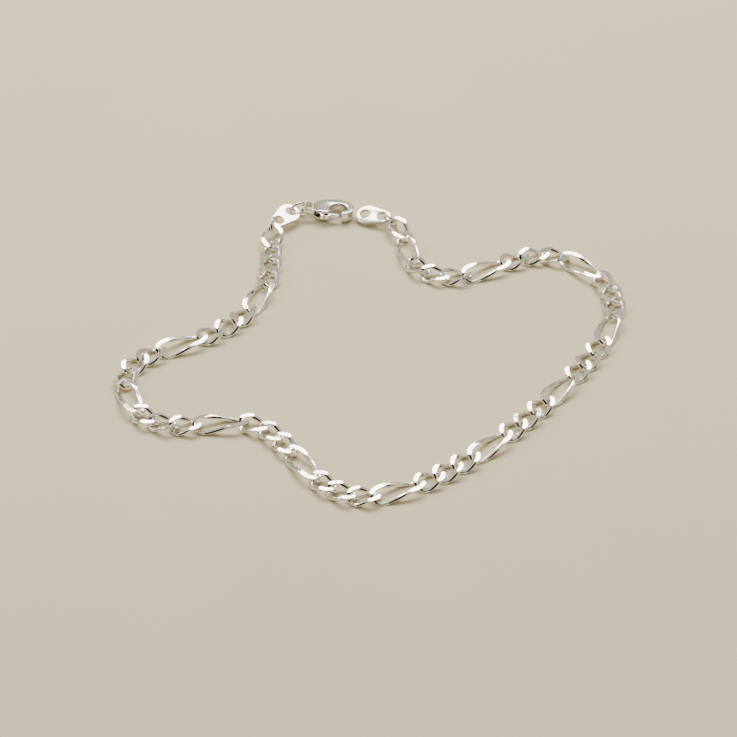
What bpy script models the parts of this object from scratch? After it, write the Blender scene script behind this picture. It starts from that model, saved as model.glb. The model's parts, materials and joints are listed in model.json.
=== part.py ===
"""Figaro chain with a lobster clasp, lying in one loose loop on a flat surface.

Three short curb links and one long link repeat along the chain. A link is an oval of round wire,
twisted about its long axis so that the ends of neighbouring links cross almost square, and cut
flat above and below. A flat tag and a jump ring finish each end of the chain, and the clasp hangs
on a jump ring of its own. The loop lies just unhooked: the nose of the clasp stops a small gap
short of the far tag. The frame is X to the right, Y away and Z up, with the origin under the
middle of the loop on the surface that it lies on.
"""

import math

import bmesh
import bpy
from mathutils import Matrix, Vector

MM = 0.001
UP = Vector((0.0, 0.0, 1.0))

# Links
LINK_WIDTH = 4.0 * MM
LINK_WIRE = 0.9 * MM
SHORT_LINK_LENGTH = 5.8 * MM
LONG_LINK_LENGTH = 9.7 * MM
CUT_THICKNESS = 1.4 * MM  # between the flats cut above and below
TWIST = math.radians(-44.0)  # of each end about the link's long axis, left-handed
SLACK = 0.3 * MM  # play between two interlocked pieces
WIRE_SIDES = 6
BEND_STEPS = 5  # steps round each end of a link

# Pattern, from the clasp to the far tag
LONG_LINKS = 12
SHORTS_FIRST = 4  # before the first long link
SHORTS_BEFORE_LONG = 3  # before every other one
SHORTS_LAST = 1  # after the last long link
ROOT_LONG_LINK = 6
ROLL_SWING = math.radians(-4.0)  # how unevenly the links lie
ROLL_STEP = 3.2  # from one link to the next, away from the root link, which lies level

# Jump rings
RING_INNER = 2.4 * MM
RING_WIRE = 0.55 * MM
RING_SLIT = 0.08 * MM  # the butt joint of a closed ring
RING_STEPS = 18
RING_ROLL = math.radians(60.0)
NEAR_RING_ROLL = math.radians(75.0)  # of the ring by the near tag, to suit the tilts of both its neighbours
CLASP_RING_ROLL = math.radians(-75.0)

# End tags
TAG_LENGTH = 6.5 * MM
TAG_WIDE_RADIUS = 2.0 * MM
TAG_NARROW_RADIUS = 1.3 * MM
TAG_THICKNESS = 0.6 * MM
TAG_RIM = 0.7 * MM  # metal left between a hole and the end of the tag
TAG_HOLE = 1.8 * MM
TAG_ROLL = math.radians(18.0)
TAG_EDGE = 0.12 * MM

# Lobster clasp
CLASP_LENGTH = 9.6 * MM
CLASP_WIDTH = 4.4 * MM
CLASP_THICKNESS = 2.0 * MM
CLASP_EDGE = 0.25 * MM
EYE_RADIUS = 1.5 * MM
EYE_HOLE = 2.0 * MM
EYE_THICKNESS = 1.0 * MM
PIN_DIAMETER = 0.6 * MM
PIN_PLAY = 0.05 * MM
LEVER_THICKNESS = 0.8 * MM
LEVER_PLAY = 0.08 * MM
LEVER_ARM = 0.7 * MM
SPRING_STRIP = 0.12 * MM
SPRING_WIDTH = 0.6 * MM
NOSE_GAP = 0.5 * MM  # from the nose of the clasp to the far tag

# The loop that the chain lies in, from the nose of the clasp to the far tag, in millimetres.
# It is scaled so that the chain just fills it.
ROUTE = [
    (-2.2, 42.6), (-9, 44), (-14.8, 42.5), (-17.3, 37), (-17, 30.5), (-17, 24), (-18.8, 17),
    (-22.5, 11), (-28, 6.8), (-34.5, 4), (-39.5, 0.8), (-41.2, -5.5), (-38.8, -12), (-34, -16),
    (-27.5, -15.8), (-21, -14), (-15.8, -16.5), (-12.5, -22.5), (-9, -28.5), (-3.8, -33.5),
    (2.5, -33.2), (8.2, -30.2), (13.8, -26), (18.5, -21.8), (23.5, -16.5), (28, -11), (32.5, -5),
    (36.5, 1.2), (40, 7.5), (42.2, 14.5), (41.5, 21.5), (38, 27), (32, 31), (26, 29.8), (20.5, 25.8),
    (14.2, 23.2), (8.4, 25.2), (6.3, 30.8), (6.2, 36.5), (3.5, 40.8),
]
CURVE_STEPS = 24  # points on the smooth curve between two points of the route
SMOOTH_ANGLE = math.radians(35.0)  # faces that meet at less than this look round


def material(name, colour, roughness):
    """A plain metal with its own colour and roughness."""
    made = bpy.data.materials.new(name)
    made.use_nodes = True
    shader = made.node_tree.nodes["Principled BSDF"]
    shader.inputs["Base Color"].default_value = (*colour, 1.0)
    shader.inputs["Metallic"].default_value = 1.0
    shader.inputs["Roughness"].default_value = roughness
    return made


def finish_mesh(bm, name):
    """Turn a bmesh into a mesh with faces pointing out and only its sharp edges left sharp."""
    bmesh.ops.recalc_face_normals(bm, faces=bm.faces)
    mesh = bpy.data.meshes.new(name)
    bm.to_mesh(mesh)
    bm.free()
    mesh.shade_smooth()
    mesh.set_sharp_from_angle(angle=SMOOTH_ANGLE)
    return mesh


def add_object(name, mesh, finish):
    """A named object that shows a mesh in a material."""
    if not mesh.materials:
        mesh.materials.append(finish)
    made = bpy.data.objects.new(name, mesh)
    bpy.context.scene.collection.objects.link(made)
    return made


def bridge_rows(bm, rows, closed):
    """Join rows of vertices into a tube, with its ends capped if it isn't closed on itself."""
    count = len(rows)
    sides = len(rows[0])
    for i in range(count if closed else count - 1):
        here, after = rows[i], rows[(i + 1) % count]
        for j in range(sides):
            k = (j + 1) % sides
            bm.faces.new((here[j], after[j], after[k], here[k]))
    if not closed:
        bm.faces.new(rows[0])
        bm.faces.new(list(reversed(rows[-1])))


def wire_rows(bm, path, wire, sides):
    """Rows of vertices round a flat path of (point, outward direction) pairs."""
    rows = []
    for point, outward in path:
        row = []
        for j in range(sides):
            angle = 2.0 * math.pi * (j + 0.5) / sides
            offset = outward * math.cos(angle) + UP * math.sin(angle)
            row.append(bm.verts.new(point + offset * wire / 2.0))
        rows.append(row)
    return rows


def oval_path(length):
    """The middle of the wire of a link: two half circles joined by straight sides."""
    bend = (LINK_WIDTH - LINK_WIRE) / 2.0
    straight = (length - LINK_WIDTH) / 2.0
    path = []
    for centre_x, start in ((straight, -math.pi / 2.0), (-straight, math.pi / 2.0)):
        for i in range(BEND_STEPS + 1):
            angle = start + math.pi * i / BEND_STEPS
            outward = Vector((math.cos(angle), math.sin(angle), 0.0))
            path.append((Vector((centre_x, 0.0, 0.0)) + outward * bend, outward))
    return path


def cut_flat(bm, height):
    """Cut a closed mesh flat at a height above and below its middle."""
    for side in (1.0, -1.0):
        geometry = bm.verts[:] + bm.edges[:] + bm.faces[:]
        plane = Vector((0.0, 0.0, side * height))
        bmesh.ops.bisect_plane(
            bm, geom=geometry, dist=1e-7, plane_co=plane, plane_no=UP * side, clear_outer=True
        )
        rim = [edge for edge in bm.edges if edge.is_boundary]
        bmesh.ops.holes_fill(bm, edges=rim, sides=0)


def link_reach(length):
    """From the middle of a link to the point where it bears on its neighbour."""
    return length / 2.0 - LINK_WIRE - SLACK / 2.0


def link_mesh(name, length):
    """A twisted link, cut flat, with its origin where it hangs on the link before it."""
    bm = bmesh.new()
    wire_middle = (length - LINK_WIRE) / 2.0
    bridge_rows(bm, wire_rows(bm, oval_path(length), LINK_WIRE, WIRE_SIDES), True)
    for vert in bm.verts:
        turn = Matrix.Rotation(TWIST * vert.co.x / wire_middle, 3, "X")
        vert.co = turn @ vert.co
    bmesh.ops.triangulate(bm, faces=bm.faces)
    cut_flat(bm, CUT_THICKNESS / 2.0)
    bmesh.ops.translate(bm, verts=bm.verts, vec=(link_reach(length), 0.0, 0.0))
    return finish_mesh(bm, name)


def ring_reach():
    """From the middle of a jump ring to the point where it bears on its neighbour."""
    return RING_INNER / 2.0 - SLACK / 2.0


def ring_mesh(name):
    """A jump ring with its butt joint at one side, and its origin where it hangs."""
    bm = bmesh.new()
    middle = (RING_INNER + RING_WIRE) / 2.0
    half_slit = RING_SLIT / 2.0 / middle
    first = math.pi / 2.0 + half_slit
    sweep = 2.0 * math.pi - 2.0 * half_slit
    path = []
    for i in range(RING_STEPS + 1):
        angle = first + sweep * i / RING_STEPS
        outward = Vector((math.cos(angle), math.sin(angle), 0.0))
        path.append((outward * middle, outward))
    bridge_rows(bm, wire_rows(bm, path, RING_WIRE, WIRE_SIDES), False)
    bmesh.ops.translate(bm, verts=bm.verts, vec=(ring_reach(), 0.0, 0.0))
    return finish_mesh(bm, name)


def extruded(name, outline, thickness, edge=0.0):
    """A plate of even thickness about Z = 0, from an outline in X and Y."""
    bm = bmesh.new()
    bottom = [bm.verts.new((x, y, -thickness / 2.0)) for x, y in outline]
    face = bm.faces.new(bottom)
    raised = bmesh.ops.extrude_face_region(bm, geom=[face])["geom"]
    moved = [item for item in raised if isinstance(item, bmesh.types.BMVert)]
    bmesh.ops.translate(bm, verts=moved, vec=(0.0, 0.0, thickness))
    bmesh.ops.recalc_face_normals(bm, faces=bm.faces)
    if edge:
        rims = [e for e in bm.edges if abs(e.verts[0].co.z - e.verts[1].co.z) < 1e-9]
        bmesh.ops.bevel(bm, geom=rims, offset=edge, segments=1, affect="EDGES")
    return finish_mesh(bm, name)


def arc(centre, radius, start, end, steps):
    """Points along an arc, with its angles in radians."""
    points = []
    for i in range(steps + 1):
        angle = start + (end - start) * i / steps
        points.append((centre[0] + radius * math.cos(angle), centre[1] + radius * math.sin(angle)))
    return points


def smooth_loop(points, steps):
    """A closed smooth curve through points in a plane."""
    count = len(points)
    curve = []
    for i in range(count):
        four = [Vector(points[(i + k) % count]) for k in (-1, 0, 1, 2)]
        curve += [tuple(curve_point(four, s / steps)) for s in range(steps)]
    return curve


def curve_point(four, t):
    """A point on the smooth curve between the second and the third of four points."""
    a, b, c, d = four
    return 0.5 * (
        2.0 * b + (c - a) * t + (2.0 * a - 5.0 * b + 4.0 * c - d) * t**2
        + (3.0 * b - a - 3.0 * c + d) * t**3
    )


def cutter(name, mesh):
    """A hidden object that only cuts others."""
    made = add_object(name, mesh, None)
    made.hide_render = True
    made.display_type = "WIRE"
    return made


def round_cutter(name, x, y, diameter, height, steps=16):
    """A hidden cylinder along Z."""
    circle = arc((x, y), diameter / 2.0, 0.0, 2.0 * math.pi * (steps - 1) / steps, steps - 1)
    return cutter(name, extruded(name, circle, height))


def box_cutter(name, low, high, half_height_low, half_height_high):
    """A hidden box between two corners in a plane and two heights."""
    corners = [low, (high[0], low[1]), high, (low[0], high[1])]
    mesh = extruded(name, corners, half_height_high - half_height_low)
    lift = (half_height_low + half_height_high) / 2.0
    mesh.transform(Matrix.Translation((0.0, 0.0, lift)))
    return cutter(name, mesh)


def cut(target, tool):
    """Take a cutter's shape out of an object, which the cutter then follows."""
    tool.parent = target
    modifier = target.modifiers.new(tool.name, "BOOLEAN")
    modifier.operation = "DIFFERENCE"
    modifier.solver = "EXACT"
    modifier.object = tool


def tag_end():
    """How far the wide end of a tag lies past the point where its narrow end hangs."""
    return TAG_LENGTH - TAG_RIM - SLACK / 2.0


def tag_mesh(name):
    """A flat tag, wider at its outer end, before its two holes are cut."""
    narrow_x = TAG_NARROW_RADIUS - TAG_RIM - SLACK / 2.0
    wide_x = tag_end() - TAG_WIDE_RADIUS
    lean = math.asin((TAG_WIDE_RADIUS - TAG_NARROW_RADIUS) / (wide_x - narrow_x))
    tangent = math.pi / 2.0 + lean
    outline = arc((wide_x, 0.0), TAG_WIDE_RADIUS, -tangent, tangent, 12)
    outline += arc((narrow_x, 0.0), TAG_NARROW_RADIUS, tangent, 2.0 * math.pi - tangent, 8)
    return extruded(name, outline, TAG_THICKNESS, TAG_EDGE)


def add_end_tag(name, mesh, finish):
    """A tag with one hole for the chain and one for the clasp's side."""
    tag = add_object(name, mesh, finish)
    inner_x = (TAG_HOLE - SLACK) / 2.0
    outer_x = tag_end() - TAG_RIM - TAG_HOLE / 2.0
    for label, x in (("inner", inner_x), ("outer", outer_x)):
        cut(tag, round_cutter(f"{name}_{label}_hole", x, 0.0, TAG_HOLE, 2.0 * TAG_THICKNESS))
    return tag


def clasp_tail():
    """Where the tail end of the clasp lies, from the point where its eye hangs."""
    return -SLACK / 2.0 - (EYE_RADIUS - EYE_HOLE / 2.0)


def on_clasp(points):
    """Points of the clasp's plan, from shares of its length and width, along it and across it."""
    return [(clasp_tail() + along * CLASP_LENGTH, across * CLASP_WIDTH) for along, across in points]


def clasp_outline():
    """The eye, the belly, the open mouth, the hook and the back of the clasp, anticlockwise."""
    eye_x = clasp_tail() + EYE_RADIUS
    eye = arc((eye_x, 0.0), EYE_RADIUS, math.radians(130.0), math.radians(230.0), 4)
    belly = [(0.26, -0.29), (0.34, -0.41), (0.44, -0.455), (0.52, -0.42)]
    mouth = [(0.545, -0.27), (0.55, -0.10), (0.58, 0.07), (0.66, 0.18), (0.75, 0.195),
             (0.83, 0.11), (0.86, -0.05), (0.83, -0.19), (0.785, -0.25)]
    hook = [(0.765, -0.36), (0.80, -0.45), (0.89, -0.39), (0.965, -0.21), (1.0, 0.0)]
    back = [(0.965, 0.25), (0.87, 0.42), (0.71, 0.5), (0.54, 0.475), (0.38, 0.37), (0.26, 0.28)]
    return smooth_loop(eye + on_clasp(belly + mouth + hook + back), 2)


def pivot():
    """Where the lever's pin crosses the plan of the clasp."""
    return on_clasp([(0.38, -0.135)])[0]


def lever_outline():
    """The round heel on the pin, the thumb nub and the arm that closes the mouth."""
    heel_x, heel_y = pivot()
    heel = arc((heel_x, heel_y), LEVER_ARM * 0.72, math.radians(50.0), math.radians(240.0), 5)
    nub = on_clasp([(0.44, -0.42), (0.46, -0.53), (0.51, -0.57), (0.56, -0.50)])
    tip_x, outer_y = on_clasp([(0.735, -0.43)])[0]
    inner_y = outer_y + LEVER_ARM
    bend_x = on_clasp([(0.60, 0.0)])[0][0]
    arm = [(bend_x, outer_y), (tip_x - LEVER_ARM / 4.0, outer_y), (tip_x, (outer_y + inner_y) / 2.0),
           (tip_x - LEVER_ARM / 4.0, inner_y), (bend_x, inner_y)]
    throat = on_clasp([(0.47, -0.20)])
    return smooth_loop(heel + nub + arm + throat, 2)


def spring_outline():
    """A thin bent leaf in the closed end of the slot, from its back wall round to the heel."""
    middle = on_clasp([(0.275, 0.02), (0.275, -0.13), (0.285, -0.22), (0.325, -0.285)])
    near, far = [], []
    for i, (x, y) in enumerate(middle):
        before, after = middle[max(i - 1, 0)], middle[min(i + 1, len(middle) - 1)]
        along = Vector((after[0] - before[0], after[1] - before[1])).normalized()
        across = Vector((-along.y, along.x)) * SPRING_STRIP / 2.0
        near.append((x + across.x, y + across.y))
        far.append((x - across.x, y - across.y))
    return far + near[::-1]


def add_clasp(finishes):
    """The clasp's body, lever, pin and spring, all in the frame of the body."""
    outline = clasp_outline()
    body = add_object(
        "clasp_body", extruded("clasp_body", outline, CLASP_THICKNESS, CLASP_EDGE), finishes["clasp"]
    )
    pin_x, pin_y = pivot()
    slot_half = LEVER_THICKNESS / 2.0 + LEVER_PLAY
    slot_low, slot_high = on_clasp([(0.262, -0.60), (0.60, 0.05)])
    cut(body, box_cutter("lever_slot", slot_low, slot_high, -slot_half, slot_half))
    bore = PIN_DIAMETER + 2.0 * PIN_PLAY
    cut(body, round_cutter("pin_bore", pin_x, pin_y, bore, 2.0 * CLASP_THICKNESS, 12))
    eye_x = clasp_tail() + EYE_RADIUS
    cut(body, round_cutter("eye_hole", eye_x, 0.0, EYE_HOLE, 2.0 * CLASP_THICKNESS))
    thin_low = (clasp_tail() - EYE_RADIUS, -CLASP_WIDTH)
    thin_high = (eye_x + EYE_RADIUS * 0.8, CLASP_WIDTH)
    for side, low, high in (("above", EYE_THICKNESS / 2.0, CLASP_THICKNESS),
                            ("below", -CLASP_THICKNESS, -EYE_THICKNESS / 2.0)):
        cut(body, box_cutter(f"eye_{side}", thin_low, thin_high, low, high))

    lever_mesh = extruded("clasp_lever", lever_outline(), LEVER_THICKNESS)
    lever_mesh.transform(Matrix.Translation((-pin_x, -pin_y, 0.0)))
    lever = add_object("clasp_lever", lever_mesh, finishes["lever"])
    lever.location = (pin_x, pin_y, 0.0)
    cut(lever, round_cutter("lever_bore", 0.0, 0.0, bore, 2.0 * LEVER_THICKNESS, 12))

    circle = arc((0.0, 0.0), PIN_DIAMETER / 2.0, 0.0, 2.0 * math.pi * 11 / 12, 11)
    pin = add_object("clasp_pin", extruded("clasp_pin", circle, CLASP_THICKNESS), finishes["pin"])
    pin.location = (pin_x, pin_y, 0.0)
    leaf = extruded("clasp_spring", spring_outline(), SPRING_WIDTH)
    spring = add_object("clasp_spring", leaf, finishes["spring"])
    for piece in (lever, pin, spring):
        piece.parent = body
    return body


def clasp_reach():
    """From the point where the clasp's eye hangs to half way across the gap at its nose."""
    return clasp_tail() + CLASP_LENGTH + NOSE_GAP / 2.0


def link_kinds():
    """The kind of each link in order, from the clasp's end of the chain."""
    kinds = ["short"] * SHORTS_FIRST + ["long"]
    for _ in range(LONG_LINKS - 1):
        kinds += ["short"] * SHORTS_BEFORE_LONG + ["long"]
    return kinds + ["short"] * SHORTS_LAST


def add_chain():
    """Every piece in order from the clasp: (object, distance between its ends' bearings, roll)."""
    finishes = {
        "short": material("polished_silver_short_links", (0.90, 0.88, 0.84), 0.12),
        "long": material("polished_silver_long_links", (0.92, 0.90, 0.86), 0.10),
        "ring": material("polished_silver_rings", (0.88, 0.86, 0.82), 0.16),
        "tag": material("satin_silver_tags", (0.86, 0.85, 0.81), 0.24),
        "clasp": material("polished_silver_clasp", (0.89, 0.87, 0.83), 0.14),
        "lever": material("polished_silver_lever", (0.87, 0.85, 0.81), 0.18),
        "pin": material("steel_pin", (0.70, 0.70, 0.70), 0.30),
        "spring": material("spring_steel", (0.55, 0.56, 0.58), 0.35),
    }
    ring = ring_mesh("jump_ring")
    tag = tag_mesh("end_tag")
    ring_pitch = 2.0 * ring_reach()

    pieces = [(add_clasp(finishes), clasp_reach(), 0.0)]
    pieces.append((add_object("jump_ring_clasp", ring, finishes["ring"]), ring_pitch, CLASP_RING_ROLL))
    pieces.append((add_end_tag("end_tag_a", tag, finishes["tag"]), tag_end() - TAG_RIM - SLACK / 2.0,
                   TAG_ROLL))
    pieces.append((add_object("jump_ring_a", ring, finishes["ring"]), ring_pitch, NEAR_RING_ROLL))

    kinds = link_kinds()
    root_place = [i for i, kind in enumerate(kinds) if kind == "long"][ROOT_LONG_LINK - 1]
    lengths = {"short": SHORT_LINK_LENGTH, "long": LONG_LINK_LENGTH}
    meshes = {kind: link_mesh(f"{kind}_link", length) for kind, length in lengths.items()}
    counts = {"short": 0, "long": 0}
    for i, kind in enumerate(kinds):
        counts[kind] += 1
        roll = ROLL_SWING * math.sin(ROLL_STEP * (i - root_place))
        link = add_object(f"{kind}_link_{counts[kind]:02d}", meshes[kind], finishes[kind])
        pieces.append((link, 2.0 * link_reach(lengths[kind]), roll))

    pieces.append((add_object("jump_ring_b", ring, finishes["ring"]), ring_pitch, RING_ROLL))
    pieces.append((add_end_tag("end_tag_b", tag, finishes["tag"]), tag_end() + NOSE_GAP / 2.0, -TAG_ROLL))
    return pieces


def depth_below_axis(piece, roll):
    """How far a piece reaches below its own long axis when it is rolled about that axis."""
    turn = Matrix.Rotation(roll, 3, "X")
    return -min((turn @ vert.co).z for vert in piece.data.vertices)


def rounded_point(four, t):
    """A point on the curve that four points of the route pull on, which rounds off its corners."""
    a, b, c, d = four
    return (
        a * (1.0 - t) ** 3 + b * (3.0 * t**3 - 6.0 * t**2 + 4.0)
        + c * (-3.0 * t**3 + 3.0 * t**2 + 3.0 * t + 1.0) + d * t**3
    ) / 6.0


def loop_curve(scale):
    """The smooth closed curve of the loop, as points in metres."""
    count = len(ROUTE)
    curve = []
    for i in range(count):
        four = [Vector(ROUTE[(i + k) % count]) for k in (-1, 0, 1, 2)]
        for s in range(CURVE_STEPS):
            curve.append(rounded_point(four, s / CURVE_STEPS) * scale * MM)
    curve.append(curve[0])
    return curve


def bearings_along(curve, spans):
    """Points along a curve at straight distances of the given spans, and what is left over."""
    points = [curve[0]]
    i = 1
    for span in spans:
        here = points[-1]
        while i < len(curve) and (curve[i] - here).length < span:
            i += 1
        if i == len(curve):
            return points, -1.0
        low, high = curve[i - 1], curve[i]
        share = 1.0
        if (low - here).length < span:
            share = line_meets_circle(low - here, high - here, span)
        points.append(low.lerp(high, share))
    left = (curve[-1] - points[-1]).length
    return points, left


def line_meets_circle(low, high, radius):
    """The share of the way from one point to another where a circle about zero is crossed."""
    step = high - low
    a = step.dot(step)
    b = 2.0 * low.dot(step)
    c = low.dot(low) - radius * radius
    return (-b + math.sqrt(b * b - 4.0 * a * c)) / (2.0 * a)


def fitted_bearings(spans):
    """Bearings round the loop, with the loop scaled until the chain just fills it."""
    small, large = 0.3, 3.0
    for _ in range(40):
        scale = (small + large) / 2.0
        points, left = bearings_along(loop_curve(scale), spans)
        if left < 0.0:
            small = scale
        else:
            large = scale
    return bearings_along(loop_curve(large), spans)[0]


def frame_along(start, end, roll):
    """A frame with X along a piece and Z as near upright as it can be, then rolled about X."""
    along = (end - start).normalized()
    across = UP.cross(along).normalized()
    upright = along.cross(across)
    turn = Matrix((along, across, upright)).transposed()
    return Matrix.Translation(start) @ turn.to_4x4() @ Matrix.Rotation(roll, 4, "X")


def lay_out(pieces):
    """Put every piece in its place on the loop, each hanging on the one nearer the root link."""
    drops = [depth_below_axis(piece, roll) for piece, _, roll in pieces]
    heights = [max(drops[max(i - 1, 0)], drops[min(i, len(drops) - 1)]) for i in range(len(drops) + 1)]
    spans = [
        math.sqrt(pitch**2 - (heights[i + 1] - heights[i]) ** 2)
        for i, (_, pitch, _) in enumerate(pieces)
    ]
    points = fitted_bearings(spans)
    bearings = [Vector((p.x, p.y, z)) for p, z in zip(points, heights)]
    root = next(i for i, (piece, _, _) in enumerate(pieces) if piece.name == ROOT_NAME)
    for i, (piece, _, roll) in enumerate(pieces):
        if i < root:
            piece.matrix_world = frame_along(bearings[i + 1], bearings[i], roll)
        else:
            piece.matrix_world = frame_along(bearings[i], bearings[i + 1], roll)


def centre_on_origin(pieces):
    """Move the whole chain so that the origin is under its middle, on the surface it lies on."""
    bpy.context.view_layer.update()
    corners = []
    for piece in pieces:
        for held in [piece, *piece.children]:
            if held.display_type != "WIRE":
                corners += [held.matrix_world @ vert.co for vert in held.data.vertices]
    low = Vector([min(corner[k] for corner in corners) for k in range(3)])
    high = Vector([max(corner[k] for corner in corners) for k in range(3)])
    shift = Vector((-(low.x + high.x) / 2.0, -(low.y + high.y) / 2.0, -low.z))
    for piece in pieces:
        piece.location += shift


ROOT_NAME = f"long_link_{ROOT_LONG_LINK:02d}"


def main():
    for thing in list(bpy.data.objects):
        bpy.data.objects.remove(thing, do_unlink=True)
    pieces = add_chain()
    lay_out(pieces)
    centre_on_origin([piece for piece, _, _ in pieces])


main()
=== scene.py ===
"""Looks of a silver figaro chain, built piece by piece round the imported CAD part.

Finer pieces take the CAD pieces' places: twisted links of wire with eight narrow flats, cut flat above
and below, jump rings with their butt joints, rounded tags and a lobster clasp. Only the leaf spring
inside the clasp stays the CAD's own.
"""

import json
import math

import bmesh
import bpy
from mathutils import Matrix, Vector

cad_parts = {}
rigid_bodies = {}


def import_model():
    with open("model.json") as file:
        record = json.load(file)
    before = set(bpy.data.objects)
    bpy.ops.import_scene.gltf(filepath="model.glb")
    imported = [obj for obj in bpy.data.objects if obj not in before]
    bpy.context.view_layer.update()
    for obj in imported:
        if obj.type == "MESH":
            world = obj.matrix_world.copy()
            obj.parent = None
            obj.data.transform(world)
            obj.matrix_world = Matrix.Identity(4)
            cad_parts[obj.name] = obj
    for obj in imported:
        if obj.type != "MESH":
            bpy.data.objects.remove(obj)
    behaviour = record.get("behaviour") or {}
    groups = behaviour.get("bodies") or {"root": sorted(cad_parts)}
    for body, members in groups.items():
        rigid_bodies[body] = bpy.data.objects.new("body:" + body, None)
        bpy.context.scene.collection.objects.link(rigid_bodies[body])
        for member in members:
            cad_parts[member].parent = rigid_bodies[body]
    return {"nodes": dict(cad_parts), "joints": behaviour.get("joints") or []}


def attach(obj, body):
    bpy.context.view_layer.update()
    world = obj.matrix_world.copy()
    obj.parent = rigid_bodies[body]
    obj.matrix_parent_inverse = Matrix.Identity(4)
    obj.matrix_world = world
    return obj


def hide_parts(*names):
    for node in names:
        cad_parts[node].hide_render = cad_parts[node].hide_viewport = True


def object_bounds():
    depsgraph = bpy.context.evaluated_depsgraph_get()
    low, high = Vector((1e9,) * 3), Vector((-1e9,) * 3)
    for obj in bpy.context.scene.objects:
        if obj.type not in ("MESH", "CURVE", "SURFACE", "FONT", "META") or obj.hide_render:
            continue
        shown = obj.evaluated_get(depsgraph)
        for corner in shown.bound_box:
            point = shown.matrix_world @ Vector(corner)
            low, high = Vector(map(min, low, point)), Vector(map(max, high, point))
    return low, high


MM = 0.001
UP = Vector((0.0, 0.0, 1.0))

# Sizes of the CAD part
LINK_WIDTH = 4.0 * MM
LINK_WIRE = 0.9 * MM
LINK_LENGTHS = {"short": 5.8 * MM, "long": 9.7 * MM}
CUT_THICKNESS = 1.4 * MM
TWIST = math.radians(-44.0)
SLACK = 0.3 * MM
ROLL_SWING = math.radians(-4.0)
ROLL_STEP = 3.2
RING_INNER = 2.4 * MM
RING_WIRE = 0.55 * MM
RING_SLIT = 0.08 * MM
RING_ROLLS = {"jump_ring_clasp": -75.0, "jump_ring_a": 75.0, "jump_ring_b": 60.0}
TAG_LENGTH = 6.5 * MM
TAG_WIDE_RADIUS = 2.0 * MM
TAG_NARROW_RADIUS = 1.3 * MM
TAG_THICKNESS = 0.6 * MM
TAG_RIM = 0.7 * MM
TAG_HOLE = 1.8 * MM
TAG_ROLL = math.radians(18.0)
TAG_EDGE = 0.12 * MM
CLASP_LENGTH = 9.6 * MM
CLASP_WIDTH = 4.4 * MM
CLASP_THICKNESS = 2.0 * MM
CLASP_EDGE = 0.25 * MM
EYE_RADIUS = 1.5 * MM
EYE_HOLE = 2.0 * MM
EYE_THICKNESS = 1.0 * MM
PIN_DIAMETER = 0.6 * MM
LEVER_THICKNESS = 0.8 * MM
LEVER_PLAY = 0.08 * MM
LEVER_ARM = 0.7 * MM
LEVER_HEEL = 0.72  # the radius of the lever's heel, as a share of the arm's width
LEVER_EDGE = 0.14 * MM

# The clasp's plan, in shares of its length and width
PIVOT_AT = (0.38, -0.135)
SLOT_CORNERS = [(0.262, -0.60), (0.60, 0.05)]
TAPER_SPAN = (0.35, 1.35)  # where the clasp thickens from its eye, in radii of the eye past its middle

# The rivet's upper half: shares of its radius and of half its length
PIN_PROFILE = [(0.6, 0.99), (0.95, 0.95), (1.0, 0.90)]

# The rings' butt ends: how far each step of the rounding reaches round, and the wire's share there
BUTT_STEP = 0.05 * MM
BUTT_SHARES = (0.86, 0.97)

# Fineness of the pieces built here
WIRE_SIDES = 48
BEND_STEPS = 28
STRAIGHT_STEPS = 14
RING_STEPS = 72
TAPER_STEPS = 14
HOLE_STEPS = 48
TAG_STEPS = (48, 32)  # round the wide end and round the narrow end
LOOP_STEPS = 8  # between two points of a smooth outline
PIN_STEPS = 32
EDGE_STEPS = 4
WIRE_TRIM = 0.95  # the wire here against the CAD's, which has six sides and so less metal
RING_TRIM = 0.88  # the same for the rings
WIRE_FLAT = 0.925  # how near the wire's eight flats come to its middle, as a share of its radius

# Edges sharper than these stay sharp
LINK_SHARP = 24.0
CLASP_SHARP = 40.0
PLAIN_SHARP = 50.0

# Finishes: colour, darker tone, lowest and highest roughness, strength of the polishing lines and dents
FINISHES = {
    "fine_silver_short": ((0.93, 0.915, 0.88), (0.84, 0.82, 0.775), (0.025, 0.075), 0.20, 0.12),
    "fine_silver_long": ((0.94, 0.925, 0.89), (0.86, 0.84, 0.795), (0.02, 0.065), 0.18, 0.10),
    "fine_silver_rings": ((0.92, 0.905, 0.87), (0.80, 0.78, 0.73), (0.07, 0.16), 0.20, 0.20),
    "fine_silver_tags": ((0.84, 0.83, 0.785), (0.76, 0.745, 0.695), (0.11, 0.20), 0.45, 0.20),
    "fine_silver_clasp": ((0.93, 0.915, 0.88), (0.85, 0.83, 0.79), (0.06, 0.14), 0.20, 0.22),
    "fine_silver_lever": ((0.91, 0.895, 0.86), (0.82, 0.80, 0.76), (0.08, 0.18), 0.25, 0.22),
    "fine_steel_pin": ((0.80, 0.79, 0.78), (0.66, 0.65, 0.64), (0.14, 0.28), 0.30, 0.30),
    "fine_spring_steel": ((0.60, 0.61, 0.63), (0.45, 0.46, 0.48), (0.20, 0.35), 0.40, 0.30),
}
TONE_SCALE = 420.0
HAZE_SCALE = 900.0
DENT_SCALE = 1500.0
LINE_SCALES = (500.0, 9000.0, 9000.0)  # drawn out along X
LINE_DEPTH = 0.004 * MM
DENT_DEPTH = 0.02 * MM

# Camera: the point looked at, how far off and how steeply
LOOK_AT = Vector((-0.0008, -0.0050, 0.0))
CAMERA_DISTANCE = 0.500
CAMERA_ELEVATION = math.radians(39.0)
CAMERA_LENS = 146.5
CAMERA_SENSOR = 36.0

# Floor
FLOOR_RADIUS = 1.6
FLOOR_SIDES = 96
FLOOR_ROUGHNESS = 0.55
FLOOR_SHINE = 0.25
FLOOR_TONES = [(0.25, (0.765, 0.683, 0.471)), (0.75, (0.810, 0.725, 0.505))]

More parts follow.
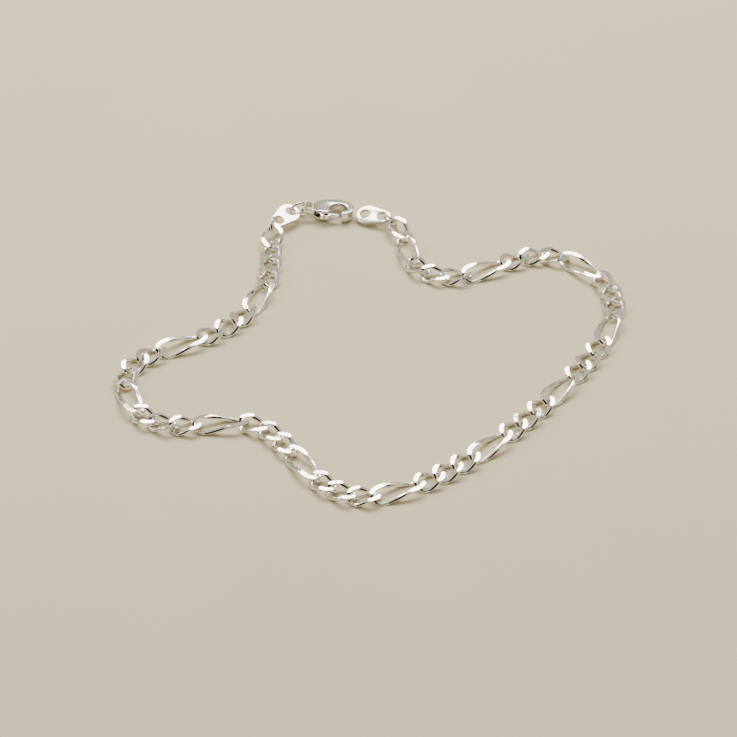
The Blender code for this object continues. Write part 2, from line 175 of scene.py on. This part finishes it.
# Room: its brightness, its tones from low to high, and a dark patch low on the camera's side
WORLD_STRENGTH = 1.08
ROOM_TONES = [(0.0, (0.36, 0.325, 0.265)), (0.30, (0.50, 0.46, 0.38)), (0.80, (0.72, 0.675, 0.585))]
DARK_TONE = (0.012, 0.010, 0.008, 1.0)
DARK_REACH = 0.42  # how far round it goes, as the cosine of the angle from straight ahead
DARK_FADE = 0.10
DARK_TOP = math.radians(56.0)
DARK_EDGE = math.radians(5.0)
BLACK = (0.0, 0.0, 0.0)
WHITE = (1.0, 1.0, 1.0)

# Soft boxes: azimuth and elevation in degrees, distance, width, height, power and colour
LIGHTS = {
    "key_behind": (178.0, 52.0, 0.60, 0.55, 0.27, 4.2, (1.0, 0.975, 0.925)),
    "fill_left": (-105.0, 35.0, 0.60, 0.16, 0.30, 1.0, (1.0, 0.97, 0.92)),
}


# ---------------------------------------------------------------- places from the frame


def frame_along(start, end, roll):
    """A frame with X along a piece and Z as near upright as it can be, then rolled about X."""
    along = (end - start).normalized()
    across = UP.cross(along).normalized()
    upright = along.cross(across)
    turn = Matrix((along, across, upright)).transposed()
    return Matrix.Translation(start) @ turn.to_4x4() @ Matrix.Rotation(roll, 4, "X")


def joint_of(child):
    """The joint that a body hangs on."""
    return next(j for j in frame["joints"] if j["child"] == child)


def bearing(child):
    """The point where a body hangs on its parent."""
    return Vector(joint_of(child)["pos_m"])


def chain_from_clasp():
    """The bodies of the chain in order, from the clasp to the far tag, and the root's place."""
    parents = {j["child"]: j["parent"] for j in frame["joints"] if j["child"] != "clasp_lever"}
    body = "clasp_body"
    near = [body]
    while body in parents:
        body = parents[body]
        near.append(body)
    body = "end_tag_b"
    far = []
    while body in parents:
        far.append(body)
        body = parents[body]
    return near + far[::-1], len(near) - 1


def middle_of(node):
    """The mean of a CAD node's corners, each counted once."""
    corners = {tuple(round(c, 8) for c in v.co) for v in frame["nodes"][node].data.vertices}
    return sum((Vector(c) for c in corners), Vector()) / len(corners)


def clasp_frame():
    """The frame of the clasp: its eye hangs at the origin, and its lever turns about Z."""
    lever = joint_of("clasp_lever")
    start = bearing("clasp_body")
    upright = Vector(lever["axis"]).normalized()
    pin = pivot()
    reach = Vector(lever["pos_m"]) - start
    turn_back = Matrix.Rotation(-math.atan2(pin[1], pin[0]), 3, upright)
    along = (turn_back @ reach).normalized()
    across = upright.cross(along)
    turn = Matrix((along, across, upright)).transposed()
    return Matrix.Translation(start) @ turn.to_4x4()


# ---------------------------------------------------------------- meshes


def finish_mesh(bm, name, sharp_angle):
    """Turn a bmesh into a smooth-shaded mesh, with only its sharp edges left sharp."""
    bmesh.ops.recalc_face_normals(bm, faces=bm.faces)
    mesh = bpy.data.meshes.new(name)
    bm.to_mesh(mesh)
    bm.free()
    mesh.shade_smooth()
    mesh.set_sharp_from_angle(angle=math.radians(sharp_angle))
    return mesh


def add_piece(name, mesh, place, body, nodes, finish):
    """Show a finer piece in place of CAD nodes, moving with a CAD body. Its place is in its mesh."""
    placed = mesh.copy()
    placed.name = name
    placed.transform(place)
    placed.materials.append(finish)
    piece = bpy.data.objects.new(name, placed)
    bpy.context.scene.collection.objects.link(piece)
    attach(piece, body)
    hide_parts(*nodes)


def bridge_rows(bm, rows, closed):
    """Join rows of vertices into a tube, with its ends capped if it isn't closed on itself."""
    count = len(rows)
    sides = len(rows[0])
    for i in range(count if closed else count - 1):
        here, after = rows[i], rows[(i + 1) % count]
        for j in range(sides):
            k = (j + 1) % sides
            bm.faces.new((here[j], after[j], after[k], here[k]))
    if not closed:
        bm.faces.new(rows[0])
        bm.faces.new(list(reversed(rows[-1])))


def cut_flat(bm, height):
    """Cut a closed mesh flat at a height above and below its middle."""
    for side in (1.0, -1.0):
        geometry = bm.verts[:] + bm.edges[:] + bm.faces[:]
        plane = Vector((0.0, 0.0, side * height))
        bmesh.ops.bisect_plane(
            bm, geom=geometry, dist=1e-8, plane_co=plane, plane_no=UP * side, clear_outer=True
        )
        rim = [edge for edge in bm.edges if edge.is_boundary]
        bmesh.ops.holes_fill(bm, edges=rim, sides=0)


def oval_path(length):
    """The middle of the wire of a link: (point, outward direction) pairs all the way round."""
    bend = (LINK_WIDTH - LINK_WIRE) / 2.0
    straight = (length - LINK_WIDTH) / 2.0
    path = []
    for side in (1.0, -1.0):
        start = -math.pi / 2.0 if side > 0.0 else math.pi / 2.0
        for i in range(BEND_STEPS):
            angle = start + math.pi * i / BEND_STEPS
            outward = Vector((math.cos(angle), math.sin(angle), 0.0))
            path.append((Vector((side * straight, 0.0, 0.0)) + outward * bend, outward))
        outward = Vector((0.0, side, 0.0))
        for i in range(STRAIGHT_STEPS):
            share = i / STRAIGHT_STEPS
            path.append((Vector((side * straight * (1.0 - 2.0 * share), side * bend, 0.0)), outward))
    return path


def wire_offset(outward, angle, radius):
    """A point of the wire's outline from its middle: round, with eight flats, one facing outward."""
    eighth = math.pi / 4.0
    from_flat = (angle + eighth / 2.0) % eighth - eighth / 2.0
    reach = min(radius, radius * WIRE_FLAT / math.cos(from_flat))
    return (outward * math.cos(angle) + UP * math.sin(angle)) * reach


def link_reach(length):
    """From the middle of a link to the point where it bears on its neighbour."""
    return length / 2.0 - LINK_WIRE - SLACK / 2.0


def link_mesh(kind):
    """A twisted link cut flat above and below, with its origin where it hangs."""
    length = LINK_LENGTHS[kind]
    wire_middle = (length - LINK_WIRE) / 2.0
    radius = LINK_WIRE / 2.0 * WIRE_TRIM
    bm = bmesh.new()
    rows = []
    for point, outward in oval_path(length):
        row = []
        for j in range(WIRE_SIDES):
            angle = 2.0 * math.pi * (j + 0.5) / WIRE_SIDES
            spot = point + wire_offset(outward, angle, radius)
            spot = Matrix.Rotation(TWIST * spot.x / wire_middle, 3, "X") @ spot
            spot.x += link_reach(length)
            row.append(bm.verts.new(spot))
        rows.append(row)
    bridge_rows(bm, rows, True)
    cut_flat(bm, CUT_THICKNESS / 2.0)
    return finish_mesh(bm, f"fine_{kind}_link", LINK_SHARP)


def ring_mesh():
    """A jump ring with its butt joint at one side, and its origin where it hangs."""
    middle = (RING_INNER + RING_WIRE) / 2.0
    half_slit = RING_SLIT / 2.0 / middle
    first = math.pi / 2.0 + half_slit
    sweep = 2.0 * math.pi - 2.0 * half_slit
    reach = RING_INNER / 2.0 - SLACK / 2.0
    edge_angle = BUTT_STEP / middle
    tip, shoulder = BUTT_SHARES
    stops = [(0.0, tip), (edge_angle, shoulder)]
    for i in range(RING_STEPS + 1):
        stops.append((edge_angle * 2.0 + (sweep - edge_angle * 4.0) * i / RING_STEPS, 1.0))
    stops += [(sweep - edge_angle, shoulder), (sweep, tip)]
    bm = bmesh.new()
    rows = []
    for turn, share in stops:
        outward = Vector((math.cos(first + turn), math.sin(first + turn), 0.0))
        radius = RING_WIRE / 2.0 * RING_TRIM * share
        row = []
        for j in range(WIRE_SIDES):
            angle = 2.0 * math.pi * (j + 0.5) / WIRE_SIDES
            spot = outward * middle + (outward * math.cos(angle) + UP * math.sin(angle)) * radius
            spot.x += reach
            row.append(bm.verts.new(spot))
        rows.append(row)
    bridge_rows(bm, rows, False)
    return finish_mesh(bm, "fine_jump_ring", PLAIN_SHARP)


def arc(centre, radius, start, end, steps):
    """Points along an arc, with its angles in radians."""
    points = []
    for i in range(steps + 1):
        angle = start + (end - start) * i / steps
        points.append((centre[0] + radius * math.cos(angle), centre[1] + radius * math.sin(angle)))
    return points


def circle(x, diameter):
    """A closed ring of points about a point on the X axis."""
    last = 2.0 * math.pi * (HOLE_STEPS - 1) / HOLE_STEPS
    return arc((x, 0.0), diameter / 2.0, 0.0, last, HOLE_STEPS - 1)


def smooth_loop(points):
    """A closed smooth curve through points in a plane."""
    count = len(points)
    curve = []
    for i in range(count):
        a, b, c, d = (Vector(points[(i + k) % count]) for k in (-1, 0, 1, 2))
        for s in range(LOOP_STEPS):
            t = s / LOOP_STEPS
            spot = 0.5 * (
                2.0 * b + (c - a) * t + (2.0 * a - 5.0 * b + 4.0 * c - d) * t**2
                + (3.0 * b - a - 3.0 * c + d) * t**3
            )
            curve.append(tuple(spot))
    return curve


def plate_mesh(name, loops, thickness, edge):
    """A plate about Z = 0 from an outline and its holes, with rounded edges."""
    curve = bpy.data.curves.new(name, "CURVE")
    curve.dimensions = "2D"
    curve.fill_mode = "BOTH"
    curve.extrude = thickness / 2.0 - edge
    curve.bevel_depth = edge
    curve.bevel_resolution = EDGE_STEPS
    curve.offset = -edge
    for loop in loops:
        spline = curve.splines.new("POLY")
        spline.points.add(len(loop) - 1)
        spline.use_cyclic_u = True
        for point, (x, y) in zip(spline.points, loop):
            point.co = (x, y, 0.0, 1.0)
    holder = bpy.data.objects.new(name, curve)
    bpy.context.scene.collection.objects.link(holder)
    bpy.context.view_layer.update()
    made = bpy.data.meshes.new_from_object(holder.evaluated_get(bpy.context.evaluated_depsgraph_get()))
    bpy.data.objects.remove(holder)
    bpy.data.curves.remove(curve)
    bm = bmesh.new()
    bm.from_mesh(made)
    bpy.data.meshes.remove(made)
    bmesh.ops.remove_doubles(bm, verts=bm.verts, dist=1e-6)
    return finish_mesh(bm, name, PLAIN_SHARP)


def tag_end():
    """How far the wide end of a tag lies past the point where its narrow end hangs."""
    return TAG_LENGTH - TAG_RIM - SLACK / 2.0


def tag_mesh():
    """A flat tag with rounded edges and a hole at each end."""
    narrow_x = TAG_NARROW_RADIUS - TAG_RIM - SLACK / 2.0
    wide_x = tag_end() - TAG_WIDE_RADIUS
    lean = math.asin((TAG_WIDE_RADIUS - TAG_NARROW_RADIUS) / (wide_x - narrow_x))
    tangent = math.pi / 2.0 + lean
    wide_steps, narrow_steps = TAG_STEPS
    outline = arc((wide_x, 0.0), TAG_WIDE_RADIUS, -tangent, tangent, wide_steps)
    outline += arc((narrow_x, 0.0), TAG_NARROW_RADIUS, tangent, 2.0 * math.pi - tangent, narrow_steps)
    holes = [
        circle((TAG_HOLE - SLACK) / 2.0, TAG_HOLE),
        circle(tag_end() - TAG_RIM - TAG_HOLE / 2.0, TAG_HOLE),
    ]
    return plate_mesh("fine_end_tag", [outline, *holes], TAG_THICKNESS, TAG_EDGE)


def clasp_tail():
    """Where the tail end of the clasp lies, from the point where its eye hangs."""
    return -SLACK / 2.0 - (EYE_RADIUS - EYE_HOLE / 2.0)


def on_clasp(points):
    """Points of the clasp's plan, from shares of its length and width, along it and across it."""
    return [(clasp_tail() + along * CLASP_LENGTH, across * CLASP_WIDTH) for along, across in points]


def pivot():
    """Where the lever's pin crosses the plan of the clasp."""
    return on_clasp([PIVOT_AT])[0]


def clasp_outline():
    """The eye, the belly, the open mouth, the hook and the back of the clasp, anticlockwise."""
    eye_x = clasp_tail() + EYE_RADIUS
    eye = arc((eye_x, 0.0), EYE_RADIUS, math.radians(130.0), math.radians(230.0), 4)
    belly = [(0.26, -0.29), (0.34, -0.41), (0.44, -0.455), (0.52, -0.42)]
    mouth = [(0.545, -0.27), (0.55, -0.10), (0.58, 0.07), (0.66, 0.18), (0.75, 0.195),
             (0.83, 0.11), (0.86, -0.05), (0.83, -0.19), (0.785, -0.25)]
    hook = [(0.765, -0.36), (0.80, -0.45), (0.89, -0.39), (0.965, -0.21), (1.0, 0.0)]
    back = [(0.965, 0.25), (0.87, 0.42), (0.71, 0.5), (0.54, 0.475), (0.38, 0.37), (0.26, 0.28)]
    return smooth_loop(eye + on_clasp(belly + mouth + hook + back))


def lever_outline():
    """The round heel on the pin, the thumb nub and the arm that closes the mouth."""
    heel_x, heel_y = pivot()
    heel = arc((heel_x, heel_y), LEVER_ARM * LEVER_HEEL, math.radians(50.0), math.radians(240.0), 5)
    nub = on_clasp([(0.44, -0.42), (0.46, -0.53), (0.51, -0.57), (0.56, -0.50)])
    tip_x, outer_y = on_clasp([(0.735, -0.43)])[0]
    inner_y = outer_y + LEVER_ARM
    bend_x = on_clasp([(0.60, 0.0)])[0][0]
    arm = [(bend_x, outer_y), (tip_x - LEVER_ARM / 4.0, outer_y), (tip_x, (outer_y + inner_y) / 2.0),
           (tip_x - LEVER_ARM / 4.0, inner_y), (bend_x, inner_y)]
    throat = on_clasp([(0.47, -0.20)])
    return smooth_loop(heel + nub + arm + throat)


def smooth_step(value, low, high):
    """0 below low, 1 above high, and a smooth rise between them."""
    share = min(1.0, max(0.0, (value - low) / (high - low)))
    return share * share * (3.0 - 2.0 * share)


def box_mesh(name, low, high):
    """A box between two corners."""
    bm = bmesh.new()
    bmesh.ops.create_cube(bm, size=1.0)
    size = high - low
    for vert in bm.verts:
        vert.co = Vector(low[k] + (vert.co[k] + 0.5) * size[k] for k in range(3))
    mesh = bpy.data.meshes.new(name)
    bm.to_mesh(mesh)
    bm.free()
    return mesh


def carved(mesh, cutter):
    """A mesh less another."""
    holder = bpy.data.objects.new(mesh.name, mesh)
    tool = bpy.data.objects.new(cutter.name, cutter)
    for made in (holder, tool):
        bpy.context.scene.collection.objects.link(made)
    modifier = holder.modifiers.new("boolean", "BOOLEAN")
    modifier.operation = "DIFFERENCE"
    modifier.solver = "EXACT"
    modifier.object = tool
    bpy.context.view_layer.update()
    result = bpy.data.meshes.new_from_object(holder.evaluated_get(bpy.context.evaluated_depsgraph_get()))
    result.name = mesh.name
    bpy.data.objects.remove(holder)
    bpy.data.objects.remove(tool)
    return result


def clasp_body_mesh():
    """The clasp's body: a rounded hook that thins to its eye, slotted for the lever."""
    eye_x = clasp_tail() + EYE_RADIUS
    loops = [clasp_outline(), circle(eye_x, EYE_HOLE)]
    mesh = plate_mesh("fine_clasp_body", loops, CLASP_THICKNESS, CLASP_EDGE)
    thin = EYE_THICKNESS / CLASP_THICKNESS
    neck, shoulder = (eye_x + EYE_RADIUS * share for share in TAPER_SPAN)
    bm = bmesh.new()
    bm.from_mesh(mesh)
    for i in range(TAPER_STEPS + 1):
        spot = Vector((neck + (shoulder - neck) * i / TAPER_STEPS, 0.0, 0.0))
        geometry = bm.verts[:] + bm.edges[:] + bm.faces[:]
        bmesh.ops.bisect_plane(bm, geom=geometry, dist=1e-7, plane_co=spot, plane_no=(1.0, 0.0, 0.0))
    for vert in bm.verts:
        vert.co.z *= thin + (1.0 - thin) * smooth_step(vert.co.x, neck, shoulder)
    bm.to_mesh(mesh)
    bm.free()
    slot_half = LEVER_THICKNESS / 2.0 + LEVER_PLAY
    slot_low, slot_high = on_clasp(SLOT_CORNERS)
    block = box_mesh("lever_slot", Vector((*slot_low, -slot_half)), Vector((*slot_high, slot_half)))
    made = carved(mesh, block)
    made.shade_smooth()
    made.set_sharp_from_angle(angle=math.radians(CLASP_SHARP))
    return made


def pin_mesh():
    """The rivet of the lever: a rod with two low domed heads."""
    radius = PIN_DIAMETER / 2.0
    half = CLASP_THICKNESS / 2.0
    profile = [(radius * across, half * up) for across, up in PIN_PROFILE]
    profile += [(across, -up) for across, up in reversed(profile)]
    bm = bmesh.new()
    top = bm.verts.new((0.0, 0.0, half))
    bottom = bm.verts.new((0.0, 0.0, -half))
    rows = []
    for across, up in profile:
        row = []
        for i in range(PIN_STEPS):
            angle = 2.0 * math.pi * i / PIN_STEPS
            row.append(bm.verts.new((across * math.cos(angle), across * math.sin(angle), up)))
        rows.append(row)
    for i in range(PIN_STEPS):
        k = (i + 1) % PIN_STEPS
        for here, after in zip(rows, rows[1:]):
            bm.faces.new((here[i], after[i], after[k], here[k]))
        bm.faces.new((top, rows[0][i], rows[0][k]))
        bm.faces.new((bottom, rows[-1][k], rows[-1][i]))
    return finish_mesh(bm, "fine_clasp_pin", PLAIN_SHARP)


# ---------------------------------------------------------------- materials


def node(tree, kind, **values):
    """A shader node with some of its inputs or settings given by name."""
    made = tree.nodes.new(kind)
    for key, value in values.items():
        if key in made.inputs:
            made.inputs[key].default_value = value
        else:
            setattr(made, key, value)
    return made


def ramp(tree, source, stops):
    """A colour ramp fed by a socket, from (place, colour) stops."""
    made = tree.nodes.new("ShaderNodeValToRGB")
    while len(made.color_ramp.elements) < len(stops):
        made.color_ramp.elements.new(0.5)
    for element, (place, colour) in zip(made.color_ramp.elements, stops):
        element.position = place
        element.color = (*colour, 1.0)
    tree.links.new(source, made.inputs["Fac"])
    return made.outputs["Color"]


def metal(name):
    """A polished metal with faint tone changes, a little haze, fine polishing lines and small dents."""
    colour, dark, (low, high), line_strength, dent_strength = FINISHES[name]
    made = bpy.data.materials.new(name)
    made.use_nodes = True
    tree = made.node_tree
    shader = tree.nodes["Principled BSDF"]
    shader.inputs["Metallic"].default_value = 1.0
    place = node(tree, "ShaderNodeTexCoord").outputs["Object"]

    tone = node(tree, "ShaderNodeTexNoise", Scale=TONE_SCALE, Detail=4.0, Roughness=0.55)
    tree.links.new(place, tone.inputs["Vector"])
    base = ramp(tree, tone.outputs["Fac"], [(0.30, dark), (0.62, colour)])
    tree.links.new(base, shader.inputs["Base Color"])

    haze = node(tree, "ShaderNodeTexNoise", Scale=HAZE_SCALE, Detail=6.0, Roughness=0.6)
    tree.links.new(place, haze.inputs["Vector"])
    spread = ramp(tree, haze.outputs["Fac"], [(0.32, (low,) * 3), (0.70, (high,) * 3)])
    tree.links.new(spread, shader.inputs["Roughness"])

    stretch = node(tree, "ShaderNodeMapping", vector_type="POINT")
    stretch.inputs["Scale"].default_value = LINE_SCALES
    tree.links.new(place, stretch.inputs["Vector"])
    lines = node(tree, "ShaderNodeTexNoise", Scale=1.0, Detail=3.0, Roughness=0.6)
    tree.links.new(stretch.outputs["Vector"], lines.inputs["Vector"])
    dents = node(tree, "ShaderNodeTexNoise", Scale=DENT_SCALE, Detail=2.0, Roughness=0.5)
    tree.links.new(place, dents.inputs["Vector"])
    first = node(tree, "ShaderNodeBump", Strength=line_strength, Distance=LINE_DEPTH)
    tree.links.new(lines.outputs["Fac"], first.inputs["Height"])
    second = node(tree, "ShaderNodeBump", Strength=dent_strength, Distance=DENT_DEPTH)
    tree.links.new(dents.outputs["Fac"], second.inputs["Height"])
    tree.links.new(first.outputs["Normal"], second.inputs["Normal"])
    tree.links.new(second.outputs["Normal"], shader.inputs["Normal"])
    return made


def floor_material():
    """Pale matt card with the faintest mottle."""
    made = bpy.data.materials.new("pale_floor")
    made.use_nodes = True
    tree = made.node_tree
    shader = tree.nodes["Principled BSDF"]
    shader.inputs["Roughness"].default_value = FLOOR_ROUGHNESS
    shader.inputs["Specular IOR Level"].default_value = FLOOR_SHINE
    place = node(tree, "ShaderNodeTexCoord").outputs["Object"]
    mottle = node(tree, "ShaderNodeTexNoise", Scale=18.0, Detail=5.0, Roughness=0.6)
    tree.links.new(place, mottle.inputs["Vector"])
    colour = ramp(tree, mottle.outputs["Fac"], FLOOR_TONES)
    tree.links.new(colour, shader.inputs["Base Color"])
    return made


# ---------------------------------------------------------------- stage


def add_floor(height):
    """A wide pale floor under the chain."""
    bm = bmesh.new()
    bmesh.ops.create_circle(bm, cap_ends=True, segments=FLOOR_SIDES, radius=FLOOR_RADIUS)
    mesh = bpy.data.meshes.new("floor")
    bm.to_mesh(mesh)
    bm.free()
    floor = bpy.data.objects.new("floor", mesh)
    floor.location.z = height
    mesh.materials.append(floor_material())
    bpy.context.scene.collection.objects.link(floor)


def add_area(name, azimuth, elevation, distance, width, height, power, colour):
    """A soft box that faces the chain. Azimuth 0 is on the camera's side and 180 is behind."""
    light = bpy.data.lights.new(name, "AREA")
    light.shape = "RECTANGLE"
    light.size = width
    light.size_y = height
    light.energy = power
    light.color = colour
    made = bpy.data.objects.new(name, light)
    a, e = math.radians(azimuth), math.radians(elevation)
    back = Vector((math.sin(a) * math.cos(e), -math.cos(a) * math.cos(e), math.sin(e)))
    made.location = LOOK_AT + back * distance
    made.rotation_mode = "QUATERNION"
    made.rotation_quaternion = (-back).to_track_quat("-Z", "Y")
    bpy.context.scene.collection.objects.link(made)


def add_world():
    """A soft pale room, with a dark patch low down on the camera's side."""
    world = bpy.data.worlds.new("room")
    bpy.context.scene.world = world
    world.use_nodes = True
    tree = world.node_tree
    background = tree.nodes["Background"]
    direction = node(tree, "ShaderNodeTexCoord").outputs["Generated"]
    split = node(tree, "ShaderNodeSeparateXYZ")
    tree.links.new(direction, split.inputs["Vector"])
    rise = ramp(tree, split.outputs["Z"], ROOM_TONES)
    flip = node(tree, "ShaderNodeMath", operation="MULTIPLY")
    tree.links.new(split.outputs["Y"], flip.inputs[0])
    flip.inputs[1].default_value = -1.0
    ahead = ramp(tree, flip.outputs["Value"], [(DARK_REACH - DARK_FADE, BLACK), (DARK_REACH, WHITE)])
    dark_top, dark_end = math.sin(DARK_TOP), math.sin(DARK_TOP + DARK_EDGE)
    under = ramp(tree, split.outputs["Z"], [(dark_top, WHITE), (dark_end, BLACK)])
    patch = node(tree, "ShaderNodeMath", operation="MULTIPLY")
    tree.links.new(ahead, patch.inputs[0])
    tree.links.new(under, patch.inputs[1])
    mix = node(tree, "ShaderNodeMix", data_type="RGBA")
    tree.links.new(patch.outputs["Value"], mix.inputs["Factor"])
    tree.links.new(rise, mix.inputs["A"])
    mix.inputs["B"].default_value = DARK_TONE
    tree.links.new(mix.outputs["Result"], background.inputs["Color"])
    background.inputs["Strength"].default_value = WORLD_STRENGTH


def add_camera():
    """The camera, looking down at the chain from the front."""
    data = bpy.data.cameras.new("camera")
    data.lens = CAMERA_LENS
    data.sensor_width = CAMERA_SENSOR
    data.clip_start = 0.01
    data.clip_end = 20.0
    camera = bpy.data.objects.new("camera", data)
    back = Vector((0.0, -math.cos(CAMERA_ELEVATION), math.sin(CAMERA_ELEVATION)))
    camera.location = LOOK_AT + back * CAMERA_DISTANCE
    camera.rotation_mode = "QUATERNION"
    camera.rotation_quaternion = (-back).to_track_quat("-Z", "Y")
    bpy.context.scene.collection.objects.link(camera)
    bpy.context.scene.camera = camera


# ---------------------------------------------------------------- the chain


def add_links(order, root_place):
    """Every link of the chain in its place."""
    meshes = {kind: link_mesh(kind) for kind in LINK_LENGTHS}
    finishes = {kind: metal(f"fine_silver_{kind}") for kind in LINK_LENGTHS}
    for i, body in enumerate(order):
        kind = body.split("_")[0]
        if kind not in LINK_LENGTHS:
            continue
        start, end = ends_of(order, root_place, i)
        roll = ROLL_SWING * math.sin(ROLL_STEP * (i - root_place))
        add_piece(
            f"fine_{body}", meshes[kind], frame_along(start, end, roll), body, [body],
            finishes[kind],
        )


def ends_of(order, root_place, i):
    """The bearing where a body hangs, and the one where the next body out from the root does."""
    if i < root_place:
        return bearing(order[i]), bearing(order[i - 1])
    if i == root_place:
        return bearing(order[i - 1]), bearing(order[i + 1])
    return bearing(order[i]), bearing(order[i + 1])


def add_rings(order, root_place):
    """The three jump rings."""
    mesh = ring_mesh()
    finish = metal("fine_silver_rings")
    for body, roll in RING_ROLLS.items():
        start, end = ends_of(order, root_place, order.index(body))
        place = frame_along(start, end, math.radians(roll))
        add_piece(f"fine_{body}", mesh, place, body, [body], finish)


def add_tags(order, root_place):
    """The two end tags."""
    mesh = tag_mesh()
    finish = metal("fine_silver_tags")
    start, end = ends_of(order, root_place, order.index("end_tag_a"))
    place = frame_along(start, end, TAG_ROLL)
    add_piece("fine_end_tag_a", mesh, place, "end_tag_a", ["end_tag_a"], finish)
    start = bearing("end_tag_b")
    place = frame_along(start, middle_of("end_tag_b"), -TAG_ROLL)
    add_piece("fine_end_tag_b", mesh, place, "end_tag_b", ["end_tag_b"], finish)


def add_clasp():
    """The clasp's body, lever and rivet, and the steel leaf inside it."""
    place = clasp_frame()
    pin_x, pin_y = pivot()
    at_pin = place @ Matrix.Translation((pin_x, pin_y, 0.0))
    add_piece(
        "fine_clasp_body", clasp_body_mesh(), place, "clasp_body", ["clasp_body"],
        metal("fine_silver_clasp"),
    )
    lever = plate_mesh("fine_clasp_lever", [lever_outline()], LEVER_THICKNESS, LEVER_EDGE)
    lever.transform(Matrix.Translation((-pin_x, -pin_y, 0.0)))
    add_piece(
        "fine_clasp_lever", lever, at_pin, "clasp_lever", ["clasp_lever"],
        metal("fine_silver_lever"),
    )
    add_piece(
        "fine_clasp_pin", pin_mesh(), at_pin, "clasp_body", ["clasp_pin"],
        metal("fine_steel_pin"),
    )
    leaf = metal("fine_spring_steel")
    for slot in frame["nodes"]["clasp_spring"].material_slots:
        slot.material = leaf


def main():
    """The chain, the floor under it, the light and the camera."""
    order, root_place = chain_from_clasp()
    add_links(order, root_place)
    add_rings(order, root_place)
    add_tags(order, root_place)
    add_clasp()
    add_floor(cad_low.z)
    add_world()
    for name, settings in LIGHTS.items():
        add_area(name, *settings)
    add_camera()


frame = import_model()
cad_low, cad_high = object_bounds()
main()
bpy.context.view_layer.update()
